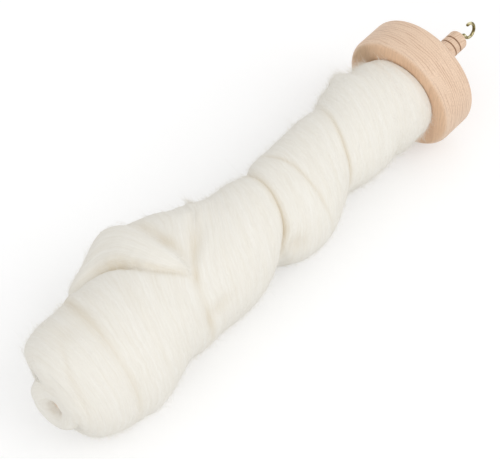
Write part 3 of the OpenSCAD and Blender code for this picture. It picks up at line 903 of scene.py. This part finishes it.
def tubes(name, mid, out, thick):
    """Thin closed three-sided tubes along rows of points, with a direction that points out of the wool."""
    n, steps = mid.shape[:2]
    ahead = unit(np.gradient(mid, axis=1))
    side = unit(np.cross(ahead, out))
    out = np.cross(side, ahead)
    half = thick * MM * TAPER[None, :, None]
    rings = [mid + half * (np.cos(b) * out + np.sin(b) * side) for b in np.radians([90, 210, 330])]
    verts = np.stack(rings, 2).reshape(-1, 3)
    first = (np.arange(n)[:, None] * steps + np.arange(steps - 1)[None, :]).ravel() * 3
    quads = []
    for b in range(3):
        c = (b + 1) % 3
        quads.append(np.stack([first + b, first + c, first + 3 + c, first + 3 + b], -1))
    faces = np.concatenate(quads).tolist()
    start = np.arange(n) * steps * 3
    faces += np.stack([start + 2, start + 1, start], -1).tolist()
    last = start + (steps - 1) * 3
    faces += np.stack([last, last + 1, last + 2], -1).tolist()
    return link(name, verts, faces, False)


def hollow_hairs(name, count, seed, thick):
    """Loose fibres that cross the hollow at the shaft's tip from one side of its rim to another."""
    rng = np.random.default_rng(seed)
    x = np.linspace(0, 1, len(TAPER))[None, :, None]
    start = rng.uniform(0, 360, count)
    ends = []
    for angle in (start, start + rng.uniform(50, 150, count)):
        r = rng.uniform(4.2, 8.4, count)
        s = np.interp(r, RIM_R, RIM_S) + rim_tilt(angle) + rng.uniform(-0.2, 0.4, count)
        ends.append(wool_point(s, r, angle)[:, None, :])
    bow = rng.normal(0, 0.5, (count, 1, 3)) * MM * np.sin(np.pi * x)
    mid = ends[0] * (1 - x) + ends[1] * x + bow
    out = np.zeros_like(mid)
    out[:, :, 0] = -1
    return tubes(name, mid, out, thick)


# turns between which fibres start and between which they stay, how near to the roving's edges they may
# start and come, and how far they keep off the floor, off the disc, and off the disc in a region
HAIR_FROM, HAIR_TO = -0.1, 5.5
HAIR_FIRST, HAIR_LAST = -0.15, 5.6
HAIR_EDGE, HAIR_IN = 0.02, 0.004
HAIR_OFF_FLOOR, HAIR_OFF_DISC, TUFT_OFF_DISC = 1.0, 3.0, 0.5


def across_fold(t, u0):
    """The way across the roving from a start at u0, which on the fold keeps to the fold's own fibres."""
    start = t[:, :1]
    s0, *_, laid = wool_surface(start, u0)
    part = (s0 - at(FOLD_HIGH, start)) / np.maximum(at(FOLD_LOW, start) - at(FOLD_HIGH, start), 0.5)
    on_it = at(FOLD_HIGH, t) + part * (at(FOLD_LOW, t) - at(FOLD_HIGH, t))
    along_it = (on_it - edge(t - 1)) / np.maximum(edge(t) - edge(t - 1), 0.01)
    return np.where(laid > 0.5, along_it, u0)


def hairs(name, count, seed, longest, lift, free, thick, region=None):
    """Loose fibres that follow the winding and lift a little off it, all over it or in a region."""
    rng = np.random.default_rng(seed)
    x = np.linspace(0, 1, len(TAPER))[None, :]
    if region is None:
        t0 = rng.uniform(HAIR_FROM, HAIR_TO, count)
        u0 = rng.uniform(HAIR_EDGE, 1 - HAIR_EDGE, count)
    else:
        t0 = rng.normal(region[0], region[1], count)
        u0 = np.clip(rng.normal(region[2], region[3], count), HAIR_EDGE, 1 - HAIR_EDGE)
    u0 = u0[:, None]
    size = rng.uniform(0.4, 1.0, count) * longest
    way = rng.choice([-1.0, 1.0], count)
    slope = rng.normal(0, 0.2, count)
    curl = rng.normal(0, 0.05, (count, 1)) * longest
    rise = rng.gamma(1.8, lift / 1.8, (count, 1))
    loose = rng.uniform(0, 1, (count, 1)) < free
    t = np.clip(t0[:, None] + (way * size)[:, None] * x / AROUND, HAIR_FIRST, HAIR_LAST)
    bow = curl * np.sin(np.pi * x) + 0.3 * curl * np.sin(2.6 * np.pi * x)
    u = across_fold(t, u0) + (slope * size)[:, None] * x / ACROSS + bow / ACROSS
    u = np.clip(u, HAIR_IN, 1 - HAIR_IN)
    s, r, angle, *_ = wool_surface(t, u)
    up = np.where(loose, rise * x ** 1.4, 0.4 * rise * np.sin(np.pi * x)) - 0.05
    mid = wool_point(s, r + up, angle)
    off_disc = HAIR_OFF_DISC if region is None else TUFT_OFF_DISC
    keep = (mid[:, :, 2].min(1) > (FLOOR + HAIR_OFF_FLOOR) * MM) & (s.min(1) > off_disc)
    a = np.radians(angle[keep])
    return tubes(name, mid[keep], np.stack([np.zeros_like(a), np.cos(a), np.sin(a)], -1), thick)


HAIRS = hair_material()
# name, how many, seed, longest, mean lift, share with a loose end, half thickness; a region is its middle
# and spread in turns and across the roving
LAYS = [("wool_laid_1", 5500, 21, 18.0, 0.22, 0.15, 0.024),
        ("wool_laid_2", 5500, 22, 14.0, 0.22, 0.15, 0.024),
        ("wool_fuzz_1", 6000, 31, 8.0, 2.2, 0.85, 0.025),
        ("wool_fuzz_2", 6000, 32, 6.5, 1.7, 0.85, 0.025),
        ("wool_fuzz_3", 6000, 33, 5.0, 1.4, 0.9, 0.025),
        ("wool_fuzz_4", 6000, 34, 5.5, 1.1, 0.9, 0.025),
        ("wool_fringe", 1600, 27, 4.0, 1.2, 0.9, 0.022, (0.5, 0.3, 0.08, 0.05)),
        ("tuft_whorl", 700, 23, 9.0, 1.8, 0.9, 0.022, (0.785, 0.035, 0.46, 0.06)),
        ("tuft_face", 420, 26, 8.0, 2.1, 0.9, 0.022, (0.8, 0.04, 0.22, 0.07)),
        ("tuft_upper", 300, 24, 8.0, 1.2, 0.9, 0.024, (0.765, 0.03, 0.7, 0.15)),
        ("tuft_fold", 160, 25, 6.0, 2.4, 0.9, 0.024, (2.76, 0.015, 0.93, 0.03))]
loose_pieces = [hairs(*lay) for lay in LAYS] + [hollow_hairs("tuft_hollow", 220, 28, 0.024)]
for piece in loose_pieces:
    dress(piece, HAIRS)
    piece.visible_shadow = False
    piece.visible_diffuse = False
    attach(piece, "wool")

lip = lip_piece()
dress(lip, WOOL)
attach(lip, "wool")
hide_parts("roving_end")

dress(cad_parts["whorl"], beech_material("beech_disc_grain", True))
dress(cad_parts["shaft"], beech_material("beech_dowel_grain", False))
dress(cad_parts["hook"], brass_material())


# floor and light
def make_floor():
    """A large square of floor under the wool."""
    mesh = bpy.data.meshes.new("floor")
    signs = [(-1, -1), (1, -1), (1, 1), (-1, 1)]
    verts = [(x * FLOOR_HALF * MM, y * FLOOR_HALF * MM, FLOOR * MM) for x, y in signs]
    mesh.from_pydata(verts, [], [(0, 1, 2, 3)])
    obj = bpy.data.objects.new("floor", mesh)
    bpy.context.scene.collection.objects.link(obj)
    dress(obj, floor_material())
    return obj


floor = make_floor()

# what the lights point at, and each light's name, direction to the camera's right, up and back, distance,
# size and power
LIGHT_AIM = (-110.0, 0.0, 0.0)
LIGHTS = [("key", (0.65, 0.25, 0.7), 1400.0, 1000.0, 3.8),
          ("fill", (-0.45, -0.45, 0.75), 1500.0, 1200.0, 2.5)]
# the sky's brightness on what it lights, and how much it grows to the camera's right and up
SKY, SKY_RIGHT, SKY_UP = 0.88, 0.06, -0.1


def area_light(name, towards, distance, size, power):
    """A square light that points at the middle of the spindle."""
    data = bpy.data.lights.new(name, "AREA")
    data.shape = "SQUARE"
    data.size = size * MM
    data.energy = power
    lamp = bpy.data.objects.new(name, data)
    bpy.context.scene.collection.objects.link(lamp)
    right, up, back = towards
    offset = (Vector(RIGHT) * right + Vector(UP) * up + Vector(BACK) * back).normalized()
    lamp.location = (Vector(LIGHT_AIM) + offset * distance) * MM
    lamp.rotation_euler = (-offset).to_track_quat("-Z", "Y").to_euler()


def studio_sky():
    """White where it is seen, and a soft slope of light on the object."""
    m = Nodes(bpy.data.worlds.new("studio"), "ShaderNodeOutputWorld")
    slope = m.add("ShaderNodeVectorMath", operation="DOT_PRODUCT")
    slope.inputs[1].default_value = Vector(RIGHT) * SKY_RIGHT + Vector(UP) * SKY_UP
    m.join(m.add("ShaderNodeTexCoord").outputs["Generated"], slope.inputs[0])
    dim, white = m.add("ShaderNodeBackground"), m.add("ShaderNodeBackground")
    for shader in (dim, white):
        shader.inputs["Color"].default_value = (*WHITE, 1)
    m.join(m.math("ADD", slope.outputs["Value"], SKY), dim.inputs["Strength"])
    white.inputs["Strength"].default_value = 1.0
    both = m.add("ShaderNodeMixShader")
    m.join(m.seen(), both.inputs[0])
    m.join(dim.outputs[0], both.inputs[1])
    m.join(white.outputs[0], both.inputs[2])
    return m.show(both)


for light in LIGHTS:
    area_light(*light)
bpy.context.scene.world = studio_sky()
bpy.context.scene.view_settings.view_transform = "Standard"
